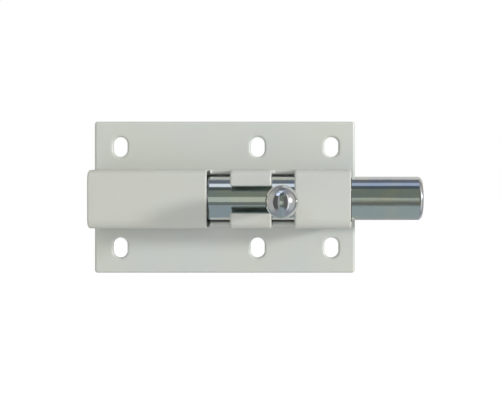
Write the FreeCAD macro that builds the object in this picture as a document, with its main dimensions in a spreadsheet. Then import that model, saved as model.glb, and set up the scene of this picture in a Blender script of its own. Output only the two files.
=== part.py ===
import FreeCAD, Part
import math
import os
import Sketcher
from FreeCAD import Vector

# Slide bolt for a door: a back plate, a sheet-steel cover with an H-shaped window, and a round bar
# that slides in the cover and is turned and drawn by a ball knob.
# Millimetres. +X runs along the bar to its free end, +Z is up and the front looks to -Y. The origin is
# the centre of the plate's back face. The bar is shown thrown, with its knob pointing to the front.

# Driving sizes. A place along the bar is an X, and a depth is measured forwards from the plate's back.
DRIVING = {
    "plate_length": 80.0,
    "plate_height": 46.5,
    "plate_thickness": 1.5,
    "plate_corner": 0.6,
    "plate_rim": 0.45,
    "slot_rim": 0.5,
    "slot_width": 4.3,
    "slot_length": 6.1,
    "slot_spacing": 30.9,
    "slot_left": -32.1,
    "slot_middle": 10.05,
    "slot_right": 32.7,
    "bar_radius": 6.5,
    "bar_length": 78.0,
    "bar_tail": -18.4,
    "bar_nose": 1.4,
    "bar_tail_chamfer": 0.8,
    "bar_play": 0.5,
    "cover_sheet": 1.6,
    "cover_bend": 1.4,
    "cover_rim": 0.3,
    "cover_start": -39.0,
    "cover_length": 77.2,
    "lug_length": 5.0,
    "lug_left": -24.0,
    "lug_right": 28.0,
    "lug_gap": 0.05,
    "window_start": -4.0,
    "wing_width": 6.7,
    "wing_corner": 1.0,
    "wing_gap": 0.25,
    "tab_length": 12.1,
    "tab_corner": 0.7,
    "channel_width": 7.62,
    "turn_limit": 85.0,
    "neck_radius": 3.0,
    "neck_chamfer": 0.5,
    "neck_lift": 0.7,
    "neck_mark_at": 16.2,
    "neck_mark_width": 0.3,
    "neck_mark_depth": 0.2,
    "head_radius": 4.65,
    "head_at": 20.6,
    "head_straight": 1.7,
    "stud_radius": 1.6,
    "stud_floor": 2.0,
    "stud_gap": 0.02,
    "ball_radius": 1.5,
    "ball_proud": 0.4,
    "ball_gap": 0.05,
    "detent_floor": 0.6,
    "detent_tilt": 20.0,
    "spring_radius": 1.1,
    "spring_wire": 0.18,
    "spring_turns": 4.0,
    "spring_wire_sides": 8,
    "spring_gap": 0.03,
    "ring_width": 1.6,
    "ring_thickness": 1.6,
    "ring_at": -14.0,
    "ring_gap": 0.05,
    "ring_side_gap": 0.1,
}

# Sizes that follow from them.
DERIVED = {
    # half of the cover's inside, which is square and holds the bar in its middle
    "bore_half": "=bar_radius + bar_play",
    "axis_depth": "=plate_thickness + bore_half",
    "cover_half": "=bore_half + cover_sheet",
    "cover_depth": "=plate_thickness + 2 * bore_half + cover_sheet",
    # the window: a wing, the two tabs with the channel between them, and a second wing
    "tab_start": "=window_start + wing_width",
    "tab_end": "=tab_start + tab_length",
    "window_end": "=tab_end + wing_width",
    "knob_at": "=tab_end + wing_width / 2",
    # the wings reach down the side walls until the neck clears them when the knob is turned aside
    "wing_depth": "=axis_depth + bore_half / tan(turn_limit) - neck_radius / sin(turn_limit) - wing_gap",
    # distances from the bar's axis along the knob
    "neck_foot": "=bar_radius + neck_lift",
    "neck_top": "=head_at - sqrt(head_radius ^ 2 - neck_radius ^ 2)",
    "head_end": "=head_at + head_straight",
    "knob_top": "=head_end + head_radius",
    # distances from the bar's axis along the detent's hole
    "ball_at": "=bar_radius + ball_proud - ball_radius",
    "spring_foot": "=detent_floor + spring_wire + spring_gap",
    "spring_top": "=ball_at - sqrt((ball_radius + spring_wire) ^ 2 - spring_radius ^ 2) - spring_gap",
    # the ring runs in the cover and sits in a groove of the bar
    "ring_outside": "=bore_half - ring_gap",
    "ring_inside": "=ring_outside - ring_thickness",
    "ring_groove": "=ring_inside - ring_gap",
}

doc = FreeCAD.newDocument("slide_bolt")


def write_sheet():
    """Puts every size into the spreadsheet, one to a row, under its own name."""
    sheet = doc.addObject("Spreadsheet::Sheet", "Sizes")
    for row, (name, size) in enumerate({**DRIVING, **DERIVED}.items(), start=1):
        sheet.set(f"A{row}", name)
        sheet.set(f"B{row}", str(size))
        sheet.setAlias(f"B{row}", name)
    doc.recompute()
    return sheet


sizes = write_sheet()


def size(text):
    """The value of an expression on the sizes, in millimetres or degrees."""
    return float(sizes.evalExpression(text))


def new_body(label, place="vector(0; 0; 0)", turn=("vector(1; 0; 0)", "0")):
    """A body for one sub-part. Its place and its turn about an axis are expressions on the sizes."""
    body = doc.addObject("PartDesign::Body", label)
    body.Label = label
    set_placement(body, place, turn)
    return body


def set_placement(thing, place, turn=("vector(1; 0; 0)", "0")):
    axis, angle = turn
    thing.setExpression("Placement", f"placement({place}; rotation({axis}; {angle}))")


def new_sketch(body, name, plane, lift="0"):
    """A sketch on one of the body's origin planes, or lifted off it along the plane's normal."""
    sketch = body.newObject("Sketcher::SketchObject", name)
    support = next(p for p in body.Origin.OriginFeatures if p.Role == plane)
    sketch.AttachmentSupport = (support, "")
    sketch.MapMode = "FlatFace"
    sketch.setExpression("AttachmentOffset.Base.z", lift)
    return sketch


def hold(sketch, kind, geometry, point, text):
    """Holds one coordinate of a point of the sketch at a size measured from the sketch's origin."""
    index = sketch.addConstraint(Sketcher.Constraint(kind, geometry, point, size(text)))
    sketch.setExpression(f"Constraints[{index}]", text)


def draw_outline(sketch, steps):
    """Draws a closed outline, counterclockwise.

    A step is a corner (across, up), or (across, up, centre across, centre up) where an arc about
    that centre, and not a straight line, leads to the next corner.
    """
    corners = [Vector(size(step[0]), size(step[1]), 0) for step in steps]
    edges = []
    for step, start, end in zip(steps, corners, corners[1:] + corners[:1]):
        if len(step) == 2:
            edge = Part.LineSegment(start, end)
        else:
            centre = Vector(size(step[2]), size(step[3]), 0)
            circle = Part.Circle(centre, Vector(0, 0, 1), (start - centre).Length)
            edge = Part.ArcOfCircle(circle, circle.parameter(start), circle.parameter(end))
        edges.append(sketch.addGeometry(edge, False))
    for step, edge, following in zip(steps, edges, edges[1:] + edges[:1]):
        sketch.addConstraint(Sketcher.Constraint("Coincident", edge, 2, following, 1))
        hold(sketch, "DistanceX", edge, 1, step[0])
        hold(sketch, "DistanceY", edge, 1, step[1])
        if len(step) == 4:
            hold(sketch, "DistanceY", edge, 3, step[3])


def draw_rectangle(sketch, left, bottom, right, top):
    draw_outline(sketch, [(left, bottom), (right, bottom), (right, top), (left, top)])


def draw_circle(sketch, across, up, radius):
    middle = Vector(size(across), size(up), 0)
    circle = sketch.addGeometry(Part.Circle(middle, Vector(0, 0, 1), size(radius)), False)
    hold(sketch, "DistanceX", circle, 3, across)
    hold(sketch, "DistanceY", circle, 3, up)
    index = sketch.addConstraint(Sketcher.Constraint("Radius", circle, size(radius)))
    sketch.setExpression(f"Constraints[{index}]", radius)


def add_feature(body, kind, name, sketch, **settings):
    """Adds a pad, pocket, revolution or groove of a sketch. Its settings that are text are sizes."""
    feature = body.newObject(f"PartDesign::{kind}", name)
    feature.Profile = sketch
    for setting, value in settings.items():
        if isinstance(value, str) and value.startswith("Sizes."):
            feature.setExpression(setting, value)
        else:
            setattr(feature, setting, value)
    before = body.Shape.Volume if body.Shape.Solids else 0.0
    doc.recompute()
    grows = kind in ("Pad", "Revolution")
    change = feature.Shape.Volume - before
    if (change > 0) != grows:
        raise ValueError(f"{name} does not change {body.Label}")
    return feature


def dress(body, kind, name, wanted, setting, text):
    """Adds a fillet or chamfer on those edges of the body's last feature that are wanted."""
    base = body.Tip
    names = [f"Edge{n}" for n, edge in enumerate(base.Shape.Edges, start=1) if wanted(edge)]
    feature = body.newObject(f"PartDesign::{kind}", name)
    feature.Base = (base, names)
    feature.setExpression(setting, text)
    doc.recompute()
    return feature


def mirror(body, name, feature):
    """Repeats a feature on the other side of the body's horizontal middle plane."""
    plane = next(p for p in body.Origin.OriginFeatures if p.Role == "XY_Plane")
    copy = body.newObject("PartDesign::Mirrored", name)
    copy.Originals = [feature]
    copy.MirrorPlane = (plane, [""])
    body.Tip = copy
    doc.recompute()
    return copy


def same(a, b):
    return abs(a - b) < 1e-4


def runs_along(edge, direction):
    """Is the edge a straight one along the direction?"""
    return edge.Curve.TypeId == "Part::GeomLine" and same(abs(edge.tangentAt(0).dot(direction)), 1)


def lies_at(edge, axis, value):
    """Does the whole edge lie in the plane where that coordinate has the value?"""
    box = edge.BoundBox
    return same(getattr(box, axis + "Min"), value) and same(getattr(box, axis + "Max"), value)


def make_back_plate():
    body = new_body("back_plate")
    outline = new_sketch(body, "plate_outline", "XZ_Plane")
    draw_rectangle(
        outline,
        "-Sizes.plate_length / 2",
        "-Sizes.plate_height / 2",
        "Sizes.plate_length / 2",
        "Sizes.plate_height / 2",
    )
    add_feature(body, "Pad", "plate_sheet", outline, Length="Sizes.plate_thickness")
    dress(
        body,
        "Fillet",
        "plate_corners",
        lambda edge: runs_along(edge, Vector(0, 1, 0)),
        "Radius",
        "Sizes.plate_corner",
    )
    front = -size("Sizes.plate_thickness")
    dress(
        body,
        "Fillet",
        "plate_rims",
        lambda edge: lies_at(edge, "Y", front),
        "Radius",
        "Sizes.plate_rim",
    )

    # three upright screw slots above the cover, and the same three below it
    slots = new_sketch(body, "screw_slots", "XZ_Plane")
    half = "Sizes.slot_width / 2"
    low = "Sizes.slot_spacing / 2 - (Sizes.slot_length - Sizes.slot_width) / 2"
    high = "Sizes.slot_spacing / 2 + (Sizes.slot_length - Sizes.slot_width) / 2"
    for middle in ("Sizes.slot_left", "Sizes.slot_middle", "Sizes.slot_right"):
        draw_outline(
            slots,
            [
                (f"{middle} - {half}", low, middle, low),
                (f"{middle} + {half}", low),
                (f"{middle} + {half}", high, middle, high),
                (f"{middle} - {half}", high),
            ],
        )
    upper = add_feature(body, "Pocket", "upper_slots", slots, Type="ThroughAll", Reversed=True)
    mirror(body, "lower_slots", upper)
    width = size("Sizes.slot_width")
    dress(
        body,
        "Chamfer",
        "slot_rims",
        lambda edge: lies_at(edge, "Y", front) and same(edge.BoundBox.XLength, width),
        "Size",
        "Sizes.slot_rim",
    )

    # the cover's lugs pass through four narrow slots
    lug_holes = new_sketch(body, "lug_holes", "XZ_Plane")
    draw_lugs(lug_holes, "Sizes.lug_gap")
    upper = add_feature(body, "Pocket", "upper_lug_holes", lug_holes, Type="ThroughAll", Reversed=True)
    mirror(body, "lower_lug_holes", upper)
    return body


def draw_lugs(sketch, gap):
    """The two lugs of the cover's upper wall, seen from the front and grown by a gap all round."""
    for middle in ("Sizes.lug_left", "Sizes.lug_right"):
        draw_rectangle(
            sketch,
            f"{middle} - Sizes.lug_length / 2 - {gap}",
            f"Sizes.bore_half - {gap}",
            f"{middle} + Sizes.lug_length / 2 + {gap}",
            f"Sizes.cover_half + {gap}",
        )


def make_barrel_cover():
    body = new_body("barrel_cover")
    lengthwise = Vector(1, 0, 0)

    # the bent sheet, as a filled block with its outer bends, then hollowed with its inner bends
    block = new_sketch(body, "cover_outline", "YZ_Plane", "Sizes.cover_start")
    draw_rectangle(
        block,
        "-Sizes.cover_depth",
        "-Sizes.cover_half",
        "-Sizes.plate_thickness",
        "Sizes.cover_half",
    )
    add_feature(body, "Pad", "cover_block", block, Length="Sizes.cover_length")
    crown = -size("Sizes.cover_depth")
    dress(
        body,
        "Fillet",
        "outer_bends",
        lambda edge: runs_along(edge, lengthwise) and lies_at(edge, "Y", crown),
        "Radius",
        "Sizes.cover_bend + Sizes.cover_sheet",
    )
    hollow = new_sketch(body, "cover_inside", "YZ_Plane", "Sizes.cover_start")
    draw_rectangle(
        hollow,
        "-Sizes.cover_depth + Sizes.cover_sheet",
        "-Sizes.bore_half",
        "-Sizes.plate_thickness",
        "Sizes.bore_half",
    )
    add_feature(body, "Pocket", "cover_hollow", hollow, Type="ThroughAll", Reversed=True)
    ceiling = crown + size("Sizes.cover_sheet")
    dress(
        body,
        "Fillet",
        "inner_bends",
        lambda edge: runs_along(edge, lengthwise) and lies_at(edge, "Y", ceiling),
        "Radius",
        "Sizes.cover_bend",
    )

    # the H-shaped window, cut from the front down to the foot of its wings in the side walls
    window = new_sketch(body, "window_outline", "XZ_Plane", "Sizes.wing_depth")
    side = "Sizes.cover_half + Sizes.cover_sheet"
    gate = "Sizes.channel_width / 2"
    draw_outline(
        window,
        [
            ("Sizes.window_start", f"-({side})"),
            ("Sizes.tab_start", f"-({side})"),
            ("Sizes.tab_start", f"-{gate}"),
            ("Sizes.tab_end", f"-{gate}"),
            ("Sizes.tab_end", f"-({side})"),
            ("Sizes.window_end", f"-({side})"),
            ("Sizes.window_end", side),
            ("Sizes.tab_end", side),
            ("Sizes.tab_end", gate),
            ("Sizes.tab_start", gate),
            ("Sizes.tab_start", side),
            ("Sizes.window_start", side),
        ],
    )
    add_feature(body, "Pocket", "window", window, Type="ThroughAll", Reversed=True)
    foot = -size("Sizes.wing_depth")
    dress(
        body,
        "Fillet",
        "wing_corners",
        lambda edge: runs_along(edge, Vector(0, 0, 1)) and lies_at(edge, "Y", foot),
        "Radius",
        "Sizes.wing_corner",
    )
    reach = size("Sizes.channel_width / 2")
    dress(
        body,
        "Fillet",
        "tab_corners",
        lambda edge: runs_along(edge, Vector(0, 1, 0)) and same(abs(edge.CenterOfMass.z), reach),
        "Radius",
        "Sizes.tab_corner",
    )

    # the outer rims of the two ends and of the window are broken
    flank = size("Sizes.cover_half")
    bend = size("Sizes.cover_bend + Sizes.cover_sheet")

    def is_rim(edge):
        outside = lies_at(edge, "Y", crown) or lies_at(edge, "Z", flank) or lies_at(edge, "Z", -flank)
        if runs_along(edge, lengthwise):
            along_gate = same(abs(edge.CenterOfMass.z), reach)
            return outside and (along_gate or lies_at(edge, "Y", foot))
        return outside or (edge.Curve.TypeId == "Part::GeomCircle" and same(edge.Curve.Radius, bend))

    dress(body, "Chamfer", "cover_rims", is_rim, "Size", "Sizes.cover_rim")

    # lugs that fill their slots in the plate and end flush with its back
    lugs = new_sketch(body, "lug_outlines", "XZ_Plane")
    draw_lugs(lugs, "0")
    upper = add_feature(body, "Pad", "upper_lugs", lugs, Length="Sizes.plate_thickness")
    mirror(body, "lower_lugs", upper)
    return body


def make_bolt_bar():
    body = new_body("bolt_bar", "vector(0; -Sizes.axis_depth; 0)")
    section = new_sketch(body, "bar_section", "YZ_Plane", "Sizes.bar_tail")
    draw_circle(section, "0", "0", "Sizes.bar_radius")
    add_feature(body, "Pad", "bar", section, Length="Sizes.bar_length")
    tail = size("Sizes.bar_tail")
    nose = size("Sizes.bar_tail + Sizes.bar_length")
    dress(body, "Fillet", "nose", lambda edge: lies_at(edge, "X", nose), "Radius", "Sizes.bar_nose")
    dress(
        body,
        "Chamfer",
        "tail",
        lambda edge: lies_at(edge, "X", tail),
        "Size",
        "Sizes.bar_tail_chamfer",
    )

    # groove of the friction ring
    groove = new_sketch(body, "ring_groove_section", "XY_Plane")
    half = "(Sizes.ring_width / 2 + Sizes.ring_side_gap)"
    draw_rectangle(
        groove,
        f"Sizes.ring_at - {half}",
        "Sizes.ring_groove",
        f"Sizes.ring_at + {half}",
        "Sizes.bore_half",
    )
    add_feature(body, "Groove", "ring_seat", groove, ReferenceAxis=(groove, ["H_Axis"]), Angle=360.0)

    # hole of the knob's stud, from its floor out to the front
    stud = new_sketch(body, "stud_hole_section", "XZ_Plane", "Sizes.stud_floor")
    draw_circle(stud, "Sizes.knob_at", "0", "Sizes.stud_radius + Sizes.stud_gap")
    add_feature(body, "Pocket", "stud_hole", stud, Type="ThroughAll", Reversed=True)

    # hole of the detent, behind the knob and tilted down from straight back
    detent = new_sketch(body, "detent_hole_section", "XZ_Plane")
    detent.setExpression(
        "AttachmentOffset",
        "placement(vector(0; -Sizes.detent_floor * sin(Sizes.detent_tilt);"
        " -Sizes.detent_floor * cos(Sizes.detent_tilt));"
        " rotation(vector(1; 0; 0); -Sizes.detent_tilt))",
    )
    draw_circle(detent, "Sizes.knob_at", "0", "Sizes.ball_radius + Sizes.ball_gap")
    add_feature(body, "Pocket", "detent_hole", detent, Type="ThroughAll")
    return body


def make_knob():
    body = new_body("knob", "vector(Sizes.knob_at; -Sizes.axis_depth; 0)")
    profile = new_sketch(body, "knob_profile", "XY_Plane")
    neck = "Sizes.neck_radius"
    waist = "Sizes.neck_radius - Sizes.neck_mark_depth"
    draw_outline(
        profile,
        [
            ("0", "-Sizes.knob_top", "0", "-Sizes.head_end"),
            ("Sizes.head_radius", "-Sizes.head_end"),
            ("Sizes.head_radius", "-Sizes.head_at", "0", "-Sizes.head_at"),
            (neck, "-Sizes.neck_top"),
            (neck, "-Sizes.neck_mark_at - Sizes.neck_mark_width"),
            (waist, "-Sizes.neck_mark_at - Sizes.neck_mark_width"),
            (waist, "-Sizes.neck_mark_at"),
            (neck, "-Sizes.neck_mark_at"),
            (neck, "-Sizes.neck_foot - Sizes.neck_chamfer"),
            ("Sizes.neck_radius - Sizes.neck_chamfer", "-Sizes.neck_foot"),
            ("Sizes.stud_radius", "-Sizes.neck_foot"),
            ("Sizes.stud_radius", "-Sizes.stud_floor - Sizes.stud_gap"),
            ("0", "-Sizes.stud_floor - Sizes.stud_gap"),
        ],
    )
    turning = {"ReferenceAxis": (profile, ["V_Axis"]), "Angle": 360.0}
    add_feature(body, "Revolution", "turned_knob", profile, **turning)
    return body


def along_detent(distance):
    """The point at a distance from the bar's axis along the detent's hole."""
    return (
        f"vector(Sizes.knob_at; -Sizes.axis_depth + ({distance}) * cos(Sizes.detent_tilt);"
        f" -({distance}) * sin(Sizes.detent_tilt))"
    )


def make_detent_ball():
    ball = doc.addObject("Part::Sphere", "detent_ball")
    ball.Label = "detent_ball"
    ball.setExpression("Radius", "Sizes.ball_radius")
    set_placement(ball, along_detent("Sizes.ball_at"))
    return ball


def bend_between(start, corner, end):
    """The arc from start to end whose tangents there meet in the corner."""
    chord_middle = (start + end) / 2
    tangent = (corner - start).Length
    share = tangent / (tangent + (end - start).Length / 2)
    return Part.Arc(start, corner + (chord_middle - corner) * share, end).toShape()


def two_bends(start, leaving, end, arriving):
    """Two arcs that join smoothly and lead from start to end in the directions given there."""
    span = end - start
    both = leaving + arriving
    along = span.dot(both)
    spread = 4 - both.dot(both)
    tangent = (math.sqrt(along**2 + spread * span.dot(span)) - along) / spread
    first = start + leaving * tangent
    last = end - arriving * tangent
    joint = (first + last) / 2
    return [bend_between(start, first, joint), bend_between(joint, last, end)]


def make_detent_spring():
    # the coil's path runs through a point at each half turn
    radius = size("Sizes.spring_radius")
    turns = size("Sizes.spring_turns")
    pitch = size("Sizes.spring_top - Sizes.spring_foot") / turns
    halves = []
    for half in range(round(2 * turns) + 1):
        side = (-1) ** half
        point = Vector(side * radius, 0, half * pitch / 2)
        way = Vector(0, side * 2 * math.pi * radius, pitch)
        halves.append((point, way.normalize()))
    arcs = []
    for here, ahead in zip(halves, halves[1:]):
        arcs += two_bends(*here, *ahead)
    coil = doc.addObject("Part::Feature", "spring_path")
    coil.Shape = Part.Wire(arcs)

    # the round wire has flats, so that the small coil needs few facets
    wire = doc.addObject("Part::RegularPolygon", "spring_wire_section")
    wire.setExpression("Polygon", "Sizes.spring_wire_sides")
    wire.setExpression("Circumradius", "Sizes.spring_wire")
    wire.Placement = FreeCAD.Placement(
        halves[0][0], FreeCAD.Rotation(Vector(0, 0, 1), halves[0][1])
    )
    spring = doc.addObject("Part::Sweep", "detent_spring")
    spring.Label = "detent_spring"
    spring.Sections = [wire]
    spring.Spine = (coil, [])
    spring.Solid = True
    set_placement(
        spring,
        along_detent("Sizes.spring_foot"),
        ("vector(1; 0; 0)", "-90 - Sizes.detent_tilt"),
    )
    return spring


def make_friction_ring():
    body = new_body("friction_ring", "vector(Sizes.ring_at; -Sizes.axis_depth; 0)")
    section = new_sketch(body, "ring_section", "XY_Plane")
    draw_rectangle(
        section,
        "-Sizes.ring_width / 2",
        "Sizes.ring_inside",
        "Sizes.ring_width / 2",
        "Sizes.ring_outside",
    )
    add_feature(body, "Revolution", "ring", section, ReferenceAxis=(section, ["H_Axis"]), Angle=360.0)
    return body


sub_parts = [
    make_back_plate(),
    make_barrel_cover(),
    make_bolt_bar(),
    make_knob(),
    make_detent_ball(),
    make_detent_spring(),
    make_friction_ring(),
]
doc.recompute()

for thing in doc.Objects:
    if "Invalid" in thing.State or "Error" in thing.State:
        raise ValueError(f"{thing.Label} has failed")
for thing in sub_parts:
    if thing.Shape.isNull() or not thing.Shape.isValid():
        raise ValueError(f"{thing.Label} has no valid shape")

os.makedirs("parts", exist_ok=True)
for thing in sub_parts:
    thing.Shape.exportStep(f"parts/{thing.Label}.step")
    box = thing.Shape.BoundBox
    print(
        f"{thing.Label}: {len(thing.Shape.Solids)} solid, {thing.Shape.Volume:.2f} mm3,"
        f" X {box.XMin:.2f} {box.XMax:.2f}, Y {box.YMin:.2f} {box.YMax:.2f},"
        f" Z {box.ZMin:.2f} {box.ZMax:.2f}"
    )
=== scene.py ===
import math

import bmesh
import bpy
from mathutils import Matrix, Vector


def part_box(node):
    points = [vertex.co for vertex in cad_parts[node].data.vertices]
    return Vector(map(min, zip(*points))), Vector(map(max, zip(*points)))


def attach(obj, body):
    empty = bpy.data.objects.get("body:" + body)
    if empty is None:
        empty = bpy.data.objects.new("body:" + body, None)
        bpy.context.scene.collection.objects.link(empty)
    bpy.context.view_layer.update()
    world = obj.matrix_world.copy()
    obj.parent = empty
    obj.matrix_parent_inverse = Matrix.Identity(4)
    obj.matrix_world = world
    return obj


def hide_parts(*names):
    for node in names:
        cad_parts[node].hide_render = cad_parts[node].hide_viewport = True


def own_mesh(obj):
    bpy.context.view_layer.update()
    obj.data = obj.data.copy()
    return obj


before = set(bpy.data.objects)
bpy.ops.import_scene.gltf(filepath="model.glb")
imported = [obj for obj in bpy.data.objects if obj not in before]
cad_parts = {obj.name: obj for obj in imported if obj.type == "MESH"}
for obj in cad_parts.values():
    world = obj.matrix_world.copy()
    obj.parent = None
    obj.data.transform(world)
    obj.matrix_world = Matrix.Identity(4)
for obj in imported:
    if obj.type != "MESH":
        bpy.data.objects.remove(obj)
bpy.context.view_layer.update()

# A slide bolt: pale enamelled plate and cover, bright zinc bar and ball knob. Metres, in the frame of
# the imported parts: +X along the bar, +Z up, the front looks to -Y and the plate's back is at Y = 0.
MM = 0.001

# lengths that count as none: between points to merge, and between places to compare
MERGE = 1e-7
CLOSE = 1e-6

# the plate
PLATE_LOW, PLATE_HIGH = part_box("back_plate")
PLATE_THICKNESS = PLATE_HIGH.y - PLATE_LOW.y
PLATE_CORNER = 0.9 * MM
PLATE_RIM = 0.85 * MM
PLATE_BACK_RIM = 0.15 * MM
SLOT_WIDTH = 4.3 * MM
SLOT_LENGTH = 6.1 * MM
SLOT_HEIGHT = 15.45 * MM
SLOT_COLUMNS = (-32.1 * MM, 10.05 * MM, 32.7 * MM)
SLOTS = [(column, side * SLOT_HEIGHT) for column in SLOT_COLUMNS for side in (-1, 1)]
SLOT_LIP = 0.75 * MM
SLOT_COLLAR = 1.5 * SLOT_LIP

# the cover: its sheet and outer bend, then the window along X, with a wing to each side of the tabs
COVER_LOW, COVER_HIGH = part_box("barrel_cover")
SHEET = 1.6 * MM
BEND = 3.0 * MM
SHEET_RIM = 0.62 * MM
WING_FOOT = 5.85 * MM
WING_WIDTH = 6.7 * MM
WING_CORNER = 1.0 * MM
WINDOW_START = -4.0 * MM
TAB_START = WINDOW_START + WING_WIDTH
TAB_END = TAB_START + 12.1 * MM
WINDOW_END = TAB_END + WING_WIDTH
TAB_CORNER = 0.7 * MM
GATE = 3.81 * MM
LUGS = (-24.0 * MM, 28.0 * MM)
LUG_LENGTH = 5.0 * MM
LUG_GAP = 0.05 * MM

# the bar, which lies along X at this depth
AXIS_Y = -8.5 * MM
BAR_LOW, BAR_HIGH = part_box("bolt_bar")
BAR_RADIUS = 6.5 * MM
BAR_NOSE = 1.4 * MM
BAR_TAIL_CHAMFER = 0.8 * MM
RING_GROOVE = 5.3 * MM
RING_AT = -14.0 * MM
RING_HALF = 0.9 * MM

# the knob: its places are counted from the bar's axis
KNOB_AT = TAB_END + WING_WIDTH / 2
KNOB_SEAT = Vector((KNOB_AT, AXIS_Y, 0))
STUD_RADIUS = 1.6 * MM
STUD_FLOOR = 2.0 * MM
STUD_GAP = 0.02 * MM
NECK_FOOT = 7.2 * MM
NECK_RADIUS = 3.0 * MM
NECK_CHAMFER = 0.5 * MM
MARK_AT = 16.2 * MM
MARK_WIDTH = 0.3 * MM
MARK_DEPTH = 0.2 * MM
HEAD_RADIUS = 4.65 * MM
HEAD_AT = 20.6 * MM
HEAD_STRAIGHT = 1.7 * MM
HEAD_FILLET = 0.3 * MM
FILLET_TURN = 4

# the detent, opposite the knob and tilted off its line: its places are counted from the bar's axis
BALL_RADIUS = 1.5 * MM
BALL_AT = 5.4 * MM
BALL_GAP = 0.05 * MM
DETENT_TILT = math.radians(20)
DETENT_REACH = Vector((0, math.cos(DETENT_TILT), -math.sin(DETENT_TILT)))
DETENT_FLOOR = 0.6 * MM
DETENT_LIP = 0.25 * MM
SPRING_RADIUS = 1.1 * MM
SPRING_WIRE = 0.18 * MM
SPRING_TURNS = 4
SPRING_GAP = 0.03 * MM

# into how many steps the round shapes are divided
BAR_SIDES = 160
KNOB_SIDES = 128
HOLE_SIDES = 48
SLOT_SIDES = 56
BEND_STEPS = 10
WIRE_SIDES = 14
TURN_STEPS = 32

# the plating: how fine its drawn lines and its scuffs are along each axis, and where the scuffs lie.
# Their line is that far about the bar from the knob's side, downwards, and in radians to either side
# of its middle they are whole as far as the core, and gone past the edge.
DRAWN_GRAIN = (60, 900, 900)
SCUFF_GRAIN = (1400, 2000, 2000)
SCUFF_TURN = math.radians(97)
SCUFF_CORE = 0.07
SCUFF_EDGE = 0.13

# the photograph's frame, and where its view axis meets the plate
IMAGE_WIDTH = 500
IMAGE_HEIGHT = 400
PIXEL = 0.30675 * MM
PLATE_MIDDLE_PIXEL = (224.75, 197.35)
AXIS_PIXEL = (303.5, 154.5)
VIEW_DISTANCE = 0.307
SENSOR = 36.0

# the lamp, and the floor under the bolt
LAMP_WAY = (2.1, -1.0, 0.42)
LAMP_DISTANCE = 1.4
LAMP_SIZE = 0.18
LAMP_WATTS = 13.5
FLOOR_LEVEL = -0.085
FLOOR_HALF = 3.0
FLOOR_PAINT = 0.94
FLOOR_GLOW = 0.37

# the soft light on what is matt: all round, from above and below, and from the camera's side
SOFT_LIGHT = 0.16
UPRIGHT_LIGHT = 0.95
FRONT_LIGHT = 3.15
FRONT_NARROWING = 14.0

# edges that turn more than this stay sharp
SHARPEST = math.radians(30)

# edges that turn more than this many degrees are rims to round: in general, and on the cover
RIM_TURN = 60
COVER_RIM_TURN = 50


# Meshes

def new_piece(name, bm, body, material, replaced):
    """Makes an object of a finished mesh, and tells the frame what it is."""
    bmesh.ops.remove_doubles(bm, verts=bm.verts, dist=MERGE)
    bmesh.ops.recalc_face_normals(bm, faces=bm.faces)
    for face in bm.faces:
        face.smooth = True
    for edge in bm.edges:
        edge.smooth = edge.calc_face_angle(0) < SHARPEST
    mesh = bpy.data.meshes.new(name)
    bm.to_mesh(mesh)
    bm.free()
    piece = bpy.data.objects.new(name, mesh)
    bpy.context.scene.collection.objects.link(piece)
    mesh.materials.append(material)
    weights = piece.modifiers.new("even_shading", "WEIGHTED_NORMAL")
    weights.keep_sharp = True
    weights.weight = 80
    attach(piece, body)
    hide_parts(*replaced)
    return piece


def new_vertices(made):
    """The vertices among what an operator made."""
    return [part for part in made if isinstance(part, bmesh.types.BMVert)]


def edge_middle(edge):
    return (edge.verts[0].co + edge.verts[1].co) / 2


def arc(centre, radius, start, end, steps):
    """Points of an arc in a plane, angles in degrees, both ends included."""
    across, up = centre
    points = []
    for step in range(steps + 1):
        angle = math.radians(start + (end - start) * step / steps)
        points.append((across + radius * math.cos(angle), up + radius * math.sin(angle)))
    return points


def spin_profile(profile, steps):
    """Turns a profile of (along, radius) points about the X axis into a closed skin."""
    bm = bmesh.new()
    points = [bm.verts.new((along, 0, radius)) for along, radius in profile]
    edges = [bm.edges.new(pair) for pair in zip(points, points[1:])]
    bmesh.ops.spin(
        bm,
        geom=points + edges,
        cent=(0, 0, 0),
        axis=(1, 0, 0),
        angle=2 * math.pi,
        steps=steps,
        use_merge=True,
    )
    bmesh.ops.remove_doubles(bm, verts=bm.verts, dist=MERGE)
    bmesh.ops.recalc_face_normals(bm, faces=bm.faces)
    return bm


def bevel_edges(bm, edges, width, segments, clamp=True):
    """Rounds edges. Unclamped, a rim beside other rims still gets its full width."""
    bmesh.ops.bevel(
        bm,
        geom=edges,
        offset=width,
        offset_type="OFFSET",
        affect="EDGES",
        segments=segments,
        profile=0.5,
        material=-1,
        clamp_overlap=clamp,
    )


def sharp_edges(bm, least_degrees=RIM_TURN):
    least = math.radians(least_degrees)
    return [e for e in bm.edges if len(e.link_faces) == 2 and e.calc_face_angle(0) > least]


def rounded_rectangle(bm, middle, width, height, corner, steps):
    """Draws a rectangle with round corners in the XZ plane, and gives its face."""
    made = bmesh.ops.create_grid(bm, x_segments=1, y_segments=1, size=0.5)
    verts = made["verts"]
    place = (
        Matrix.Translation((middle[0], 0, middle[1]))
        @ Matrix.Rotation(math.radians(90), 4, "X")
        @ Matrix.Diagonal((width, height, 1, 1))
    )
    bmesh.ops.transform(bm, matrix=place, verts=verts)
    face = verts[0].link_faces[0]
    if not corner:
        return face
    made = bmesh.ops.bevel(
        bm,
        geom=verts,
        offset=corner,
        offset_type="OFFSET",
        affect="VERTICES",
        segments=steps,
        profile=0.5,
        material=-1,
    )
    return made["verts"][0].link_faces[0]


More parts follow.
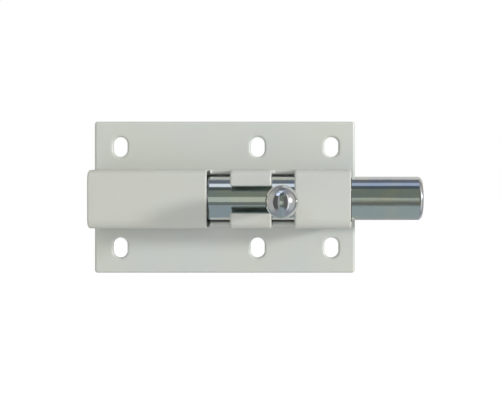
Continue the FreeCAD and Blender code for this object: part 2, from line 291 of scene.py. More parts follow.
def slot_face(bm, middle, width, length):
    """Draws an upright slot with round ends in the XZ plane, and gives its face."""
    place = (
        Matrix.Translation((middle[0], 0, middle[1]))
        @ Matrix.Rotation(math.radians(90), 4, "X")
        @ Matrix.Rotation(math.pi / SLOT_SIDES, 4, "Z")
    )
    verts = bmesh.ops.create_circle(
        bm, cap_ends=True, segments=SLOT_SIDES, radius=width / 2, matrix=place
    )["verts"]
    for vert in verts:
        vert.co.z += math.copysign((length - width) / 2, vert.co.z - middle[1])
    return verts[0].link_faces[0]


def take_border(bm, face):
    """Removes a face and gives its edges."""
    edges = list(face.edges)
    bm.faces.remove(face)
    return edges


def plate_outline(bm):
    """Draws the plate's border, and its holes for the screws and for the cover's lugs. Each slot has
    a collar of faces round it for its pressed rim. Gives the edges that the plate's face fills."""
    width = PLATE_HIGH.x - PLATE_LOW.x
    height = PLATE_HIGH.z - PLATE_LOW.z
    borders = take_border(bm, rounded_rectangle(bm, (0, 0), width, height, PLATE_CORNER, 5))
    for slot in SLOTS:
        around = slot_face(bm, slot, SLOT_WIDTH + 2 * SLOT_COLLAR, SLOT_LENGTH + 2 * SLOT_COLLAR)
        ring = bmesh.ops.inset_region(
            bm, faces=[around], thickness=SLOT_COLLAR, use_boundary=True, use_even_offset=True
        )["faces"]
        borders += [e for f in ring for e in f.edges if e.is_boundary]
        bm.faces.remove(around)
    for middle in LUGS:
        for side in (-1, 1):
            at = (middle, side * (COVER_HIGH.z - SHEET / 2))
            hole = rounded_rectangle(bm, at, LUG_LENGTH + 2 * LUG_GAP, SHEET + 2 * LUG_GAP, 0, 0)
            borders += take_border(bm, hole)
    return borders


def make_plate(material):
    """The plate, with its six pressed screw slots and the four holes of the cover's lugs."""
    bm = bmesh.new()
    borders = plate_outline(bm)
    bmesh.ops.triangle_fill(bm, edges=borders, use_beauty=True, normal=(0, -1, 0))
    bmesh.ops.recalc_face_normals(bm, faces=bm.faces)
    made = bmesh.ops.extrude_face_region(bm, geom=bm.faces[:], use_keep_orig=True)
    bmesh.ops.translate(bm, vec=(0, -PLATE_THICKNESS, 0), verts=new_vertices(made["geom"]))
    bmesh.ops.recalc_face_normals(bm, faces=bm.faces)

    def on_slot(edge):
        middle = edge_middle(edge)
        reach = SLOT_LENGTH / 2 + 0.1 * MM
        return any(math.dist(slot, (middle.x, middle.z)) < reach for slot in SLOTS)

    def on_border(edge):
        middle = edge_middle(edge)
        return abs(middle.x) > PLATE_HIGH.x - MM or abs(middle.z) > PLATE_HIGH.z - MM

    def at_front(edge):
        return all(v.co.y < -PLATE_THICKNESS + CLOSE for v in edge.verts)

    rims = sharp_edges(bm)
    bevel_edges(bm, [e for e in rims if on_slot(e) and at_front(e)], SLOT_LIP, 5)
    rims = sharp_edges(bm)
    bevel_edges(bm, [e for e in rims if on_border(e) and at_front(e)], PLATE_RIM, 5, clamp=False)
    rims = [e for e in sharp_edges(bm) if all(v.co.y > -CLOSE for v in e.verts)]
    bevel_edges(bm, [e for e in rims if on_border(e) or on_slot(e)], PLATE_BACK_RIM, 2, clamp=False)
    return new_piece("plate", bm, "housing", material, ["back_plate"])


def cover_section():
    """The line of the cover's outer skin, as (y, z) points from its lower foot to its upper one."""
    foot, crown, half = -PLATE_THICKNESS, COVER_LOW.y, COVER_HIGH.z
    bend_y = crown + BEND
    bend_z = half - BEND
    section = [(foot, -half), (-WING_FOOT, -half)]
    section += arc((bend_y, -bend_z), BEND, -90, -180, BEND_STEPS)
    section += [(crown, -GATE), (crown, GATE)]
    section += arc((bend_y, bend_z), BEND, 180, 90, BEND_STEPS)
    section += [(-WING_FOOT, half), (foot, half)]
    return section


def coat_cover(bm):
    """Gives the faces that lie in shade a coat of painted shade: the inner ones, the cut walls of the
    tabs and the backs of the window's rims take the darker enamel.
    The cut walls at the window's left and where the bar comes out take the near black one."""
    for face in bm.faces:
        at = face.calc_center_median()
        # painted shade: the faces inside the cover, the tabs' cut walls and the backs of the window's
        # rims take the darker coat, for the shade that lies on them
        inner = at.y > COVER_LOW.y + 0.9 * SHEET and abs(at.z) < COVER_HIGH.z - 0.9 * SHEET
        gate_wall = abs(face.normal.z) > 0.6 and abs(abs(at.z) - GATE) < SHEET_RIM
        by_window = WINDOW_START - MM < at.x < WINDOW_END + MM and at.y < -WING_FOOT
        back_rim = by_window and face.normal.y > 0.2
        if inner or (gate_wall and by_window) or back_rim:
            face.material_index = 1
        # painted shade: the cut wall at the window's left and the cut end round the bar's way out are
        # made near black, for the deep shade of the gaps beside the bar
        left_wall = face.normal.x > 0.8 and -SHEET_RIM < at.x - WINDOW_START < MM / 100
        mouth = face.normal.x > 0.6 and at.x > COVER_HIGH.x - SHEET_RIM
        if left_wall or (mouth and at.y < -WING_FOOT and abs(at.z) < BAR_RADIUS):
            face.material_index = 2


def make_cover(material, coat_shade_material, wall_shade_material):
    """The bent cover: its outer skin is drawn along X, opened for the window, then thickened."""
    bm = bmesh.new()
    foot = -PLATE_THICKNESS
    stations = [COVER_LOW.x, WINDOW_START, TAB_START, TAB_END, WINDOW_END, COVER_HIGH.x]
    stations += [lug + side * LUG_LENGTH / 2 for lug in LUGS for side in (-1, 1)]
    stations.sort()

    # the section is drawn along X, with a stop at each end of the window's parts and of the lugs
    points = [bm.verts.new((stations[0], y, z)) for y, z in cover_section()]
    edges = [bm.edges.new(pair) for pair in zip(points, points[1:])]
    for here, ahead in zip(stations, stations[1:]):
        made = bmesh.ops.extrude_edge_only(bm, edges=edges)["geom"]
        bmesh.ops.translate(bm, vec=(ahead - here, 0, 0), verts=new_vertices(made))
        edges = [
            e
            for e in made
            if isinstance(e, bmesh.types.BMEdge) and all(abs(v.co.x - ahead) < CLOSE for v in e.verts)
        ]

    def in_window(face):
        at = face.calc_center_median()
        if not WINDOW_START < at.x < WINDOW_END or at.y > -WING_FOOT:
            return False
        in_wing = at.x < TAB_START or at.x > TAB_END
        return in_wing or abs(at.z) < GATE

    bmesh.ops.delete(bm, geom=[f for f in bm.faces if in_window(f)], context="FACES")

    def on_lug(edge):
        middle = edge_middle(edge)
        at_foot = all(abs(v.co.y - foot) < CLOSE for v in edge.verts)
        return at_foot and any(abs(middle.x - lug) < LUG_LENGTH / 4 for lug in LUGS)

    # the lugs go down through the plate
    made = bmesh.ops.extrude_edge_only(bm, edges=[e for e in bm.edges if on_lug(e)])["geom"]
    bmesh.ops.translate(bm, vec=(0, PLATE_THICKNESS, 0), verts=new_vertices(made))
    bmesh.ops.recalc_face_normals(bm, faces=bm.faces)

    # an open sheet may come out with all its faces turned inwards
    if bm.faces[0].normal.z * bm.faces[0].calc_center_median().z < 0:
        bmesh.ops.reverse_faces(bm, faces=bm.faces)
    bmesh.ops.dissolve_limit(
        bm, angle_limit=math.radians(1), verts=bm.verts, edges=bm.edges, delimit={"NORMAL"}
    )
    bmesh.ops.solidify(bm, geom=bm.faces[:], thickness=SHEET)
    bmesh.ops.recalc_face_normals(bm, faces=bm.faces)

    def through(edge, direction):
        """Whether an edge crosses the sheet's thickness along a direction."""
        along = edge.verts[1].co - edge.verts[0].co
        return abs(along.length - SHEET) < CLOSE and abs(along.normalized().dot(direction)) > 0.999

    # the corners of the wings and of the tabs are rounded, then all the rims in front of the plate
    corners = [e for e in sharp_edges(bm) if through(e, Vector((0, 0, 1)))]
    wing = [e for e in corners if all(abs(v.co.y + WING_FOOT) < CLOSE for v in e.verts)]
    bevel_edges(bm, wing, WING_CORNER, 6)
    corners = [e for e in sharp_edges(bm) if through(e, Vector((0, 1, 0)))]
    tab = [e for e in corners if all(abs(abs(v.co.z) - GATE) < CLOSE for v in e.verts)]
    bevel_edges(bm, tab, TAB_CORNER, 6)
    rims = sharp_edges(bm, COVER_RIM_TURN)
    rims = [e for e in rims if min(v.co.y for v in e.verts) < foot - MM / 100]
    bevel_edges(bm, rims, SHEET_RIM, 5)
    coat_cover(bm)
    cover = new_piece("cover", bm, "housing", material, ["barrel_cover"])
    cover.data.materials.append(coat_shade_material)
    cover.data.materials.append(wall_shade_material)
    return cover


def scratch_object(bm):
    """Puts a mesh into an object of its own, for a cut."""
    mesh = bpy.data.meshes.new("scratch")
    bm.to_mesh(mesh)
    bm.free()
    thing = bpy.data.objects.new("scratch", mesh)
    bpy.context.scene.collection.objects.link(thing)
    return thing


def cut_away(piece, cutter):
    """Cuts one scratch object out of another, removes both, and gives the mesh that is left."""
    cut = piece.modifiers.new("cut", "BOOLEAN")
    cut.operation = "DIFFERENCE"
    cut.solver = "EXACT"
    cut.object = cutter
    graph = bpy.context.evaluated_depsgraph_get()
    mesh = bpy.data.meshes.new_from_object(piece.evaluated_get(graph))
    bm = bmesh.new()
    bm.from_mesh(mesh)
    bpy.data.meshes.remove(mesh)
    for thing in (piece, cutter):
        bpy.data.objects.remove(thing)
    return bm


def hole_cutter(radius, floor, turn):
    """A cutter for a round hole with a chamfered mouth. It is spun along X from the bar's axis, and
    then turned to its way out of the bar."""
    outside = BAR_RADIUS + MM

    # the bar's round face falls away beside the hole, so the mouth starts that much deeper
    mouth = BAR_RADIUS - DETENT_LIP - radius**2 / (2 * BAR_RADIUS)
    profile = [
        (floor, 0),
        (floor, radius),
        (mouth, radius),
        (mouth + DETENT_LIP, radius + DETENT_LIP),
        (outside, radius + DETENT_LIP),
        (outside, 0),
    ]
    cutter = spin_profile(profile, HOLE_SIDES)
    place = Matrix.Translation((KNOB_AT, 0, 0)) @ turn
    bmesh.ops.transform(cutter, matrix=place, verts=cutter.verts)
    return cutter


def make_bar(material, hole_shade_material):
    """The turned bar with its ring groove, and the holes of the stud and of the detent."""
    tail, nose = BAR_LOW.x, BAR_HIGH.x
    profile = [
        (tail, 0),
        (tail, BAR_RADIUS - BAR_TAIL_CHAMFER),
        (tail + BAR_TAIL_CHAMFER, BAR_RADIUS),
        (RING_AT - RING_HALF, BAR_RADIUS),
        (RING_AT - RING_HALF, RING_GROOVE),
        (RING_AT + RING_HALF, RING_GROOVE),
        (RING_AT + RING_HALF, BAR_RADIUS),
    ]
    profile += arc((nose - BAR_NOSE, BAR_RADIUS - BAR_NOSE), BAR_NOSE, 90, 0, 8)
    profile += [(nose, 0)]
    bar = spin_profile(profile, BAR_SIDES)

    to_front = Matrix.Rotation(math.radians(-90), 4, "Z")
    to_detent = Matrix.Rotation(-DETENT_TILT, 4, "X") @ Matrix.Rotation(math.radians(90), 4, "Z")
    cutters = bmesh.new()
    for cutter in (
        hole_cutter(STUD_RADIUS + STUD_GAP, STUD_FLOOR, to_front),
        hole_cutter(BALL_RADIUS + BALL_GAP, DETENT_FLOOR, to_detent),
    ):
        mesh = bpy.data.meshes.new("cutter")
        cutter.to_mesh(mesh)
        cutter.free()
        cutters.from_mesh(mesh)
        bpy.data.meshes.remove(mesh)
    bm = cut_away(scratch_object(bar), scratch_object(cutters))

    # the walls of the detent's hole take the near black material: painted shade in the hole
    for face in bm.faces:
        at = face.calc_center_median() - Vector((KNOB_AT, 0, 0))
        along = at.dot(DETENT_REACH)
        aside = (at - along * DETENT_REACH).length
        within = aside < BALL_RADIUS + 2 * DETENT_LIP and along > DETENT_FLOOR / 2
        if within and math.hypot(at.y, at.z) < BAR_RADIUS - 0.02 * MM:
            face.material_index = 1
    bmesh.ops.translate(bm, vec=(0, AXIS_Y, 0), verts=bm.verts)
    bar = new_piece("bar", bm, "bolt", material, ["bolt_bar"])
    bar.data.materials.append(hole_shade_material)
    return bar


def make_knob(material):
    """The turned knob: stud, neck with its mark, and the stretched ball of its head."""
    head_end = HEAD_AT + HEAD_STRAIGHT
    joint = HEAD_AT - math.sqrt(HEAD_RADIUS**2 - NECK_RADIUS**2)
    joint_angle = 180 - math.degrees(math.asin(NECK_RADIUS / HEAD_RADIUS))
    waist = NECK_RADIUS - MARK_DEPTH
    profile = [
        (STUD_FLOOR + STUD_GAP, 0),
        (STUD_FLOOR + STUD_GAP, STUD_RADIUS),
        (NECK_FOOT, STUD_RADIUS),
        (NECK_FOOT, NECK_RADIUS - NECK_CHAMFER),
        (NECK_FOOT + NECK_CHAMFER, NECK_RADIUS),
        (MARK_AT, NECK_RADIUS),
        (MARK_AT + MARK_WIDTH / 3, waist),
        (MARK_AT + MARK_WIDTH * 2 / 3, waist),
        (MARK_AT + MARK_WIDTH, NECK_RADIUS),
        (joint - HEAD_FILLET, NECK_RADIUS),
    ]
    profile += arc((HEAD_AT, 0), HEAD_RADIUS, joint_angle - FILLET_TURN, 90, 20)
    profile += arc((head_end, 0), HEAD_RADIUS, 90, 0, 28)
    bm = spin_profile(profile, KNOB_SIDES)
    place = Matrix.Translation(KNOB_SEAT) @ Matrix.Rotation(math.radians(-90), 4, "Z")
    bmesh.ops.transform(bm, matrix=place, verts=bm.verts)
    return new_piece("ball_knob", bm, "bolt", material, ["knob"])


def make_detent_ball(material):
    """The ball of the detent, sprung out of the bar nearly opposite the knob."""
    bm = bmesh.new()
    bmesh.ops.create_uvsphere(bm, u_segments=64, v_segments=32, radius=BALL_RADIUS)
    bmesh.ops.translate(bm, vec=KNOB_SEAT + BALL_AT * DETENT_REACH, verts=bm.verts)
    return new_piece("catch_ball", bm, "detent", material, ["detent_ball"])


def make_detent_spring(material):
    """The coil under the ball. The real one shortens as the ball is pressed in; this one is drawn at
    its rest length, in a mesh of its own.
    """
    foot = DETENT_FLOOR + SPRING_WIRE + SPRING_GAP
    seat = math.sqrt((BALL_RADIUS + SPRING_WIRE) ** 2 - SPRING_RADIUS**2)
    top = BALL_AT - seat - SPRING_GAP
    steps = TURN_STEPS * SPRING_TURNS
    rise = math.atan2(top - foot, 2 * math.pi * SPRING_RADIUS * SPRING_TURNS)
    bm = bmesh.new()
    place = Matrix.Translation((SPRING_RADIUS, 0, foot)) @ Matrix.Rotation(math.pi / 2 + rise, 4, "X")
    made = bmesh.ops.create_circle(
        bm, cap_ends=False, segments=WIRE_SIDES, radius=SPRING_WIRE, matrix=place
    )
    bmesh.ops.spin(
        bm,
        geom=made["verts"] + bm.edges[:],
        cent=(0, 0, 0),
        axis=(0, 0, 1),
        dvec=(0, 0, (top - foot) / steps),
        angle=2 * math.pi * SPRING_TURNS,
        steps=steps,
        use_merge=False,
    )
    bmesh.ops.holes_fill(bm, edges=bm.edges[:], sides=0)
    lay_back = Matrix.Rotation(-math.radians(90) - DETENT_TILT, 4, "X")
    place = Matrix.Translation(KNOB_SEAT) @ lay_back
    bmesh.ops.transform(bm, matrix=place, verts=bm.verts)
    spring = new_piece("catch_spring", bm, "bolt", material, ["detent_spring"])
    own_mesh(spring)
    return spring


# Materials. A noise's scale counts its spots per metre: 38 drifts over some 26 mm of a surface, and
# 2600 makes specks of 0.4 mm.

class Number:
    """A number socket of a shader. Sums and products of it add the nodes that they need."""

    def __init__(self, shader, socket):
        self.shader = shader
        self.socket = socket

    def maths(self, operation, *others):
        """Adds a Math node whose first input is this number."""
        inputs = dict(enumerate((self, *others)))
        return self.shader.number("Math", 0, {"operation": operation}, inputs)

    def __add__(self, other):
        return self.maths("ADD", other)

    __radd__ = __add__

    def __sub__(self, other):
        return self.maths("SUBTRACT", other)

    def __rsub__(self, other):
        return (self * -1) + other

    def __mul__(self, other):
        return self.maths("MULTIPLY", other)

    __rmul__ = __mul__

    def __truediv__(self, other):
        return self.maths("DIVIDE", other)

    def step(self, low, high):
        """0 below low, 1 above high, and a smooth slope between them."""
        inputs = {"Value": self, "From Min": low, "From Max": high}
        settings = {"interpolation_type": "SMOOTHSTEP"}
        return self.shader.number("MapRange", "Result", settings, inputs)


class Shader:
    """The node tree of a material or of the world."""

    def __init__(self, owner):
        owner.use_nodes = True
        self.tree = owner.node_tree
        self.tree.nodes.clear()

    def join(self, socket, value):
        """Links a socket to a number or to another socket, or sets its value."""
        if isinstance(value, Number):
            value = value.socket
        if isinstance(value, bpy.types.NodeSocket):
            self.tree.links.new(value, socket)
        else:
            socket.default_value = value

    def node(self, kind, settings=None, inputs=None, **sockets):
        """Adds a node, sets it up, then fills its sockets: those in inputs are given by their number or
        name, and the others by their name in words, with _ for a space."""
        node = self.tree.nodes.new("ShaderNode" + kind)
        for name, value in (settings or {}).items():
            if name == "stops":
                set_stops(node.color_ramp, value)
            else:
                setattr(node, name, value)
        for name, value in (inputs or {}).items():
            self.join(node.inputs[name], value)
        for name, value in sockets.items():
            self.join(node.inputs[name.replace("_", " ")], value)
        return node

    def number(self, kind, output, settings=None, inputs=None, **sockets):
        """Adds a node and gives one of its outputs as a number."""
        return Number(self, self.node(kind, settings, inputs, **sockets).outputs[output])

    def axes(self, vector):
        """The three numbers of a vector."""
        parts = self.node("SeparateXYZ", Vector=vector)
        return [Number(self, parts.outputs[axis]) for axis in "XYZ"]

    def noise(self, vector, scale, detail):
        return self.number("TexNoise", "Fac", Vector=vector, Scale=scale, Detail=detail)

    def grain(self, vector, scales, detail):
        """Noise that is drawn out, with its own scale along each axis."""
        drawn = self.node("Mapping", Vector=vector, Scale=scales)
        return self.noise(drawn.outputs[0], 1.0, detail)

    def bump(self, strength, depth, height):
        """A normal that is tilted by a height."""
        bump = self.node("Bump", Strength=strength, Distance=depth, Height=height)
        return bump.outputs["Normal"]

    def mix(self, factor, first, second):
        """A colour between two colours."""
        return self.node("Mix", {"data_type": "RGBA"}, {0: factor, 6: first, 7: second}).outputs[2]

    def mix_shader(self, factor, first, second):
        """One shader node or the other, by a factor."""
        return self.node("MixShader", None, {0: factor, 1: first.outputs[0], 2: second.outputs[0]})

    def surface(self, **sockets):
        """Ends a material in one principled surface."""
        surface = self.node("BsdfPrincipled", **sockets)
        self.node("OutputMaterial", Surface=surface.outputs[0])


def set_stops(ramp, stops):
    """Gives a colour ramp its (place, colour) stops."""
    while len(ramp.elements) < len(stops):
        ramp.elements.new(0.5)
    for element, (place, colour) in zip(ramp.elements, stops):
        element.position = place
        element.color = colour


def new_material(name):
    """A material, its empty shader, and the place on the piece that its patterns read."""
    material = bpy.data.materials.new(name)
    shader = Shader(material)
    return material, shader, shader.node("TexCoord").outputs["Object"]


def screen(red, green, blue):
    """A colour as it looks on a screen, 0 to 255, turned into the shader's linear values."""
    def linear(value):
        value = value / 255
        return value / 12.92 if value <= 0.04045 else ((value + 0.055) / 1.055) ** 2.4

    return (linear(red), linear(green), linear(blue), 1.0)


def grey(level):
    return screen(level, level, level)


def enamel(name, warm, cool):
    """Pale grey stove enamel: a faint drift of tone, fine specks, a little orange peel and a soft
    gloss."""
    material, shader, place = new_material(name)
    drift = shader.noise(place, 38.0, 2.0)
    peel = shader.noise(place, 900.0, 1.0)
    speck = shader.noise(place, 2600.0, 2.0)
    colour = shader.mix(drift.step(0.35, 0.65), warm, cool)
    shader.surface(
        Base_Color=shader.mix(speck.step(0.5, 0.75) * 0.12, colour, screen(180, 184, 176)),
        Roughness=0.29 + 0.06 * drift,
        Normal=shader.bump(0.12, 0.05 * MM, peel),
        Coat_Roughness=0.15,
        IOR=1.5,
    )
    return material


def painted_shade_coat():
    """The enamel darkened as painted shade, for the faces inside the cover and the cut walls of the
    window, which lie in shade.
    """
    material, shader, place = new_material("painted_shade_enamel")
    patches = shader.noise(place, 420.0, 3.0)
    colour = shader.mix(patches.step(0.35, 0.7), screen(136, 152, 147), screen(154, 167, 162))
    shader.surface(Base_Color=colour, Roughness=0.35 + 0.2 * patches)
    return material


def scuff_mask(shader, place):
    """1 on the scuffs along the bar's free end: mottled, in one line, and only on the round side."""
    x, y, z = shader.axes(place)
    depth = AXIS_Y - y
    off_line = (z.maths("ARCTAN2", depth) + SCUFF_TURN).maths("ABSOLUTE")
    reach = (depth * depth + z * z).maths("SQRT")
    mottle = 0.35 + 0.65 * shader.grain(place, SCUFF_GRAIN, 2.0).step(0.42, 0.58)
    in_line = 1 - off_line.step(SCUFF_CORE, SCUFF_EDGE)
    free_end = x.step(COVER_HIGH.x - MM, COVER_HIGH.x)
    round_side = reach.step(BAR_RADIUS - 0.4 * MM, BAR_RADIUS - 0.1 * MM)
    return mottle * in_line * free_end * round_side


def zinc():
    """Bright zinc plate on turned steel: mirror-like, with fine drawn lines, a faint unevenness, and
    a line of scuffs along the free end where it rubs in its keeper."""
    material, shader, place = new_material("bright_zinc")
    streaks = shader.grain(place, DRAWN_GRAIN, 3.0)
    cloud = shader.noise(place, 160.0, 3.0)
    pits = shader.noise(place, 1500.0, 3.0)
    colour = shader.mix(cloud.step(0.35, 0.7), (0.69, 0.72, 0.75, 1), (0.78, 0.76, 0.70, 1))
    shader.surface(
        Base_Color=shader.mix(0.75 * scuff_mask(shader, place), colour, (0.16, 0.16, 0.14, 1)),
        Metallic=1.0,
        Roughness=0.02 + 0.05 * streaks.step(0.45, 0.75),
        Normal=shader.bump(0.6, 0.01 * MM, pits),
    )
    return material


def painted_shade_wall():
    """Near black steel with a faint mottle: painted shade for the detent's hole and for the cover's cut
    walls beside the bar.
    """
    material, shader, place = new_material("painted_shade_wall")
    shade_mottle = shader.noise(place, 900.0, 3.0)
    colour = shader.mix(shade_mottle, (0.02, 0.02, 0.018, 1), (0.08, 0.075, 0.065, 1))
    shader.surface(Base_Color=colour, Metallic=0.6, Roughness=0.45)
    return material


def polished_steel():
    """The detent's ball: ground and polished, a little clouded."""
    material, shader, place = new_material("polished_ball")
    cloud = shader.noise(place, 700.0, 2.0)
    colour = shader.mix(cloud, (0.72, 0.70, 0.66, 1), (0.62, 0.60, 0.56, 1))
    shader.surface(Base_Color=colour, Metallic=1.0, Roughness=0.1 + 0.1 * cloud)
    return material


def spring_wire():
    """Drawn spring wire, greyer and duller than the ball."""
    material, shader, place = new_material("spring_wire")
    cloud = shader.noise(place, 1200.0, 3.0)
    colour = shader.mix(cloud, (0.38, 0.37, 0.36, 1), (0.5, 0.49, 0.47, 1))
    shader.surface(Base_Color=colour, Metallic=1.0, Roughness=0.3 + 0.15 * cloud)
    return material


def ring_rubber():
    """Black rubber with a dull, finely grained skin."""
    material, shader, place = new_material("ring_rubber")
    grain = shader.noise(place, 1500.0, 3.0)
    shader.surface(
        Base_Color=shader.mix(grain, (0.02, 0.02, 0.02, 1), (0.045, 0.045, 0.045, 1)),
        Roughness=0.55 + 0.2 * grain,
        Normal=shader.bump(0.2, 0.03 * MM, grain),
    )
    return material


# Stage

def make_floor():
    """A pale floor below the bolt: white to the camera with the bolt's shadow, and left out of what
    shines, which sees the cards of the room instead."""
    bm = bmesh.new()
    bmesh.ops.create_grid(bm, x_segments=1, y_segments=1, size=FLOOR_HALF)
    bmesh.ops.translate(bm, vec=(0, 0, FLOOR_LEVEL), verts=bm.verts)
    mesh = bpy.data.meshes.new("floor")
    bm.to_mesh(mesh)
    bm.free()
    floor = bpy.data.objects.new("floor", mesh)
    bpy.context.scene.collection.objects.link(floor)
    material = bpy.data.materials.new("pale_floor")
    shader = Shader(material)
    rays = shader.node("LightPath")
    matt = shader.node("BsdfDiffuse", Color=(FLOOR_PAINT, FLOOR_PAINT, FLOOR_PAINT, 1))
    glow = shader.node("Emission", Color=(1, 1, 1, 1), Strength=FLOOR_GLOW)
    bright = shader.node("AddShader", None, {0: matt.outputs[0], 1: glow.outputs[0]})
    seen = shader.mix_shader(rays.outputs["Is Camera Ray"], matt, bright)
    clear = shader.node("BsdfTransparent")
    surface = shader.mix_shader(rays.outputs["Is Glossy Ray"], seen, clear)
    shader.node("OutputMaterial", Surface=surface.outputs[0])
    mesh.materials.append(material)


# the cards of the room, as bands: where each ends, in degrees, and its colour. Round the bar the angle
# runs from straight behind through below to the front, at 0, and on through above. Round the upright
# axis it runs from behind through the left to the front, at 0, and on through the right.
CARDS_AT_WINDOW = [
    (-134, grey(150)),
    (-34, screen(148, 162, 164)),
    (-17, screen(114, 122, 118)),
    (9, screen(186, 195, 182)),
    (45, screen(123, 133, 124)),
    (65, screen(84, 92, 94)),
    (86, screen(236, 244, 255)),
    (112, screen(111, 119, 131)),
    (134, screen(139, 145, 144)),
    (180, grey(124)),
]
CARDS_AT_FREE_END = [
    (-135, grey(172)),
    (-36, screen(156, 169, 168)),
    (-20, screen(104, 108, 100)),
    (-8, screen(130, 134, 124)),
    (4, screen(186, 193, 179)),
    (53, screen(118, 127, 118)),
    (72, screen(84, 94, 102)),
    (92, screen(174, 188, 214)),
    (121, screen(112, 118, 129)),
    (180, grey(212)),
]
CARDS_AT_SIDES = [
    (-118, grey(150)),
    (-63, grey(186)),
    (-27, grey(94)),
    (9, grey(172)),
    (44, grey(106)),
    (57, grey(250)),
    (104, grey(196)),
    (128, grey(150)),
    (180, grey(214)),
]
BAND_SLOPE = 2.0

# where one table takes over from another, by how far a direction goes to the side, and where plain
# grey takes over from the cards at the sides, by how far it goes up or down
TO_FREE_END = (-0.01, 0.05)
TO_SIDES = (0.18, 0.3)
TO_GREY = (0.55, 0.9)

# how unevenly the plating shows the cards: its grain, and how far a card's edge wavers, in turns, at
# the window and at the free end. Low in front of the free end it wavers more, which sets in between
# the first two of these angles and ends between the other two.
WAVER_GRAIN = (120, 60, 60)
WINDOW_WAVER = 0.02
END_WAVER = 0.04
LOW_WAVER = 0.12
LOW_START = (-50, -38)
LOW_END = (-2, 6)

# the round cards: the way to the cool one, their radii and the softness of their edge, in degrees
COOL_CARD_WAY = (-0.36, -0.45, 0.79)
LAMP_CARD = 13
COOL_CARD = 9
CARD_EDGE = 5


def ramp_place(degrees):
    """An angle as a ramp reads it, with 0 to the front at the ramp's middle."""
    return 0.5 + degrees / 360


def bands(shader, angle, table):
    """The plain bands of a table, with short slopes between them."""
    stops = [(0.0, table[0][1])]
    for (end, colour), (_, following) in zip(table, table[1:]):
        stops.append((ramp_place(end - BAND_SLOPE), colour))
        stops.append((ramp_place(end + BAND_SLOPE), following))
    return shader.node("ValToRGB", {"stops": stops}, Fac=angle).outputs["Color"]


def round_card(shader, way, toward, degrees):
    """A mask that is 1 inside a round card that many degrees in radius, with a soft edge."""
    settings = {"operation": "DOT_PRODUCT"}
    facing = shader.number("VectorMath", "Value", settings, {0: way, 1: Vector(toward).normalized()})
    return facing.step(math.cos(math.radians(degrees + CARD_EDGE)), math.cos(math.radians(degrees)))


def room_cards(shader, way, x, y, z):
    """What shines sees a room of pale and dark cards, other ones to the sides of the bar."""
    height = z.maths("ARCTAN2", y * -1) / (2 * math.pi) + 0.5
    side = x.maths("ARCTAN2", y * -1) / (2 * math.pi) + 0.5

    # the plating is never quite even, so the cards have slightly wavy edges, more so those low in
    # front of the bar's free end
    waver = shader.grain(way, WAVER_GRAIN, 3.0) - 0.5
    low = height.step(*map(ramp_place, LOW_START)) - height.step(*map(ramp_place, LOW_END))
    window = bands(shader, height + WINDOW_WAVER * waver, CARDS_AT_WINDOW)
    end = bands(shader, height + (END_WAVER + LOW_WAVER * low) * waver, CARDS_AT_FREE_END)
    room = shader.mix(x.step(*TO_FREE_END), window, end)
    sides = bands(shader, side, CARDS_AT_SIDES)
    sides = shader.mix(z.maths("ABSOLUTE").step(*TO_GREY), sides, screen(150, 154, 162))
    room = shader.mix(x.maths("ABSOLUTE").step(*TO_SIDES), room, sides)

    # the lamp's own card, and a cool one on the other side
    lamp = round_card(shader, way, LAMP_WAY, LAMP_CARD)
    cool = round_card(shader, way, COOL_CARD_WAY, COOL_CARD)
    return shader.mix(cool, shader.mix(lamp, room, (1.5, 1.5, 1.45, 1)), (0.95, 1.05, 1.35, 1))


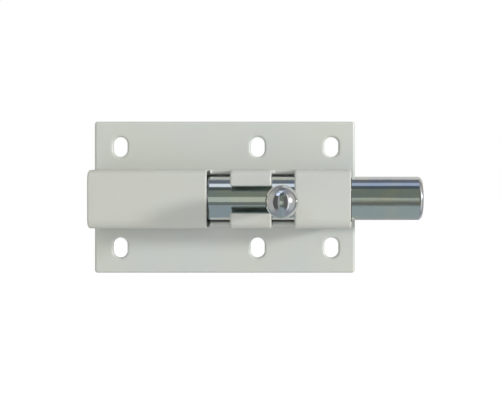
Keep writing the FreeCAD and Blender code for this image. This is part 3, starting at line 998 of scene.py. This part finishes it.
def make_world():
    """White to the camera, a plain soft light on what is matt, and the cards for what shines."""
    world = bpy.data.worlds.new("studio")
    bpy.context.scene.world = world
    shader = Shader(world)
    way = shader.node("TexCoord").outputs["Generated"]
    x, y, z = shader.axes(way)
    front = (y * -1).maths("MAXIMUM", 0.0).maths("POWER", FRONT_NARROWING)
    level = SOFT_LIGHT + UPRIGHT_LIGHT * z * z + FRONT_LIGHT * front
    soft = shader.node("Background", Color=(1, 1, 1, 1), Strength=level)
    cards = shader.node("Background", Color=room_cards(shader, way, x, y, z), Strength=1.0)
    white = shader.node("Background", Color=(1, 1, 1, 1), Strength=1.0)
    rays = shader.node("LightPath")
    shiny = Number(shader, rays.outputs["Is Glossy Ray"])
    shiny = shiny.maths("MAXIMUM", rays.outputs["Is Transmission Ray"])
    unseen = shader.mix_shader(shiny, soft, cards)
    surface = shader.mix_shader(rays.outputs["Is Camera Ray"], unseen, white)
    shader.node("OutputWorld", Surface=surface.outputs[0])


def make_lamp():
    """The one lamp: low from the right and a little from above, so that the knob throws its shadow."""
    way = Vector(LAMP_WAY).normalized()
    light = bpy.data.lights.new("key", "AREA")
    light.shape = "DISK"
    light.size = LAMP_SIZE
    light.energy = LAMP_WATTS
    lamp = bpy.data.objects.new("key", light)
    bpy.context.scene.collection.objects.link(lamp)
    lamp.location = LAMP_DISTANCE * way
    lamp.rotation_euler = way.to_track_quat("Z", "Y").to_euler()


def make_camera():
    """The camera square on to the plate, shifted so that the bolt lies where the photograph has it."""
    camera = bpy.data.cameras.new("camera")
    camera.sensor_fit = "HORIZONTAL"
    camera.sensor_width = SENSOR
    field = IMAGE_WIDTH * PIXEL
    camera.lens = SENSOR * VIEW_DISTANCE / field
    camera.shift_x = (IMAGE_WIDTH / 2 - AXIS_PIXEL[0]) / IMAGE_WIDTH
    camera.shift_y = (AXIS_PIXEL[1] - IMAGE_HEIGHT / 2) / IMAGE_WIDTH
    camera.clip_start = 0.01
    camera.dof.use_dof = False
    thing = bpy.data.objects.new("camera", camera)
    bpy.context.scene.collection.objects.link(thing)
    thing.location = (
        (AXIS_PIXEL[0] - PLATE_MIDDLE_PIXEL[0]) * PIXEL,
        -PLATE_THICKNESS - VIEW_DISTANCE,
        (PLATE_MIDDLE_PIXEL[1] - AXIS_PIXEL[1]) * PIXEL,
    )
    thing.rotation_euler = (math.radians(90), 0, 0)
    bpy.context.scene.camera = thing


# The stage, and the pieces of the bolt

make_camera()
make_lamp()
make_world()
make_floor()

plated = zinc()
# near black, painted shade for the deep gaps beside the bar and for the detent's hole
shaded_walls = painted_shade_wall()
# the cover's enamel is a little darker than the plate's: painted shade, which offsets the more light
# that the cover catches
make_plate(enamel("plate_enamel", screen(196, 199, 190), screen(194, 198, 194)))
make_cover(enamel("cover_enamel_painted_darker", screen(193, 194, 185), screen(191, 194, 188)), painted_shade_coat(), shaded_walls)
make_bar(plated, shaded_walls)
make_knob(plated)
make_detent_ball(polished_steel())
make_detent_spring(spring_wire())
rubber = ring_rubber()
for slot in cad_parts["friction_ring"].material_slots:
    slot.material = rubber

bpy.context.scene.view_settings.view_transform = "Standard"
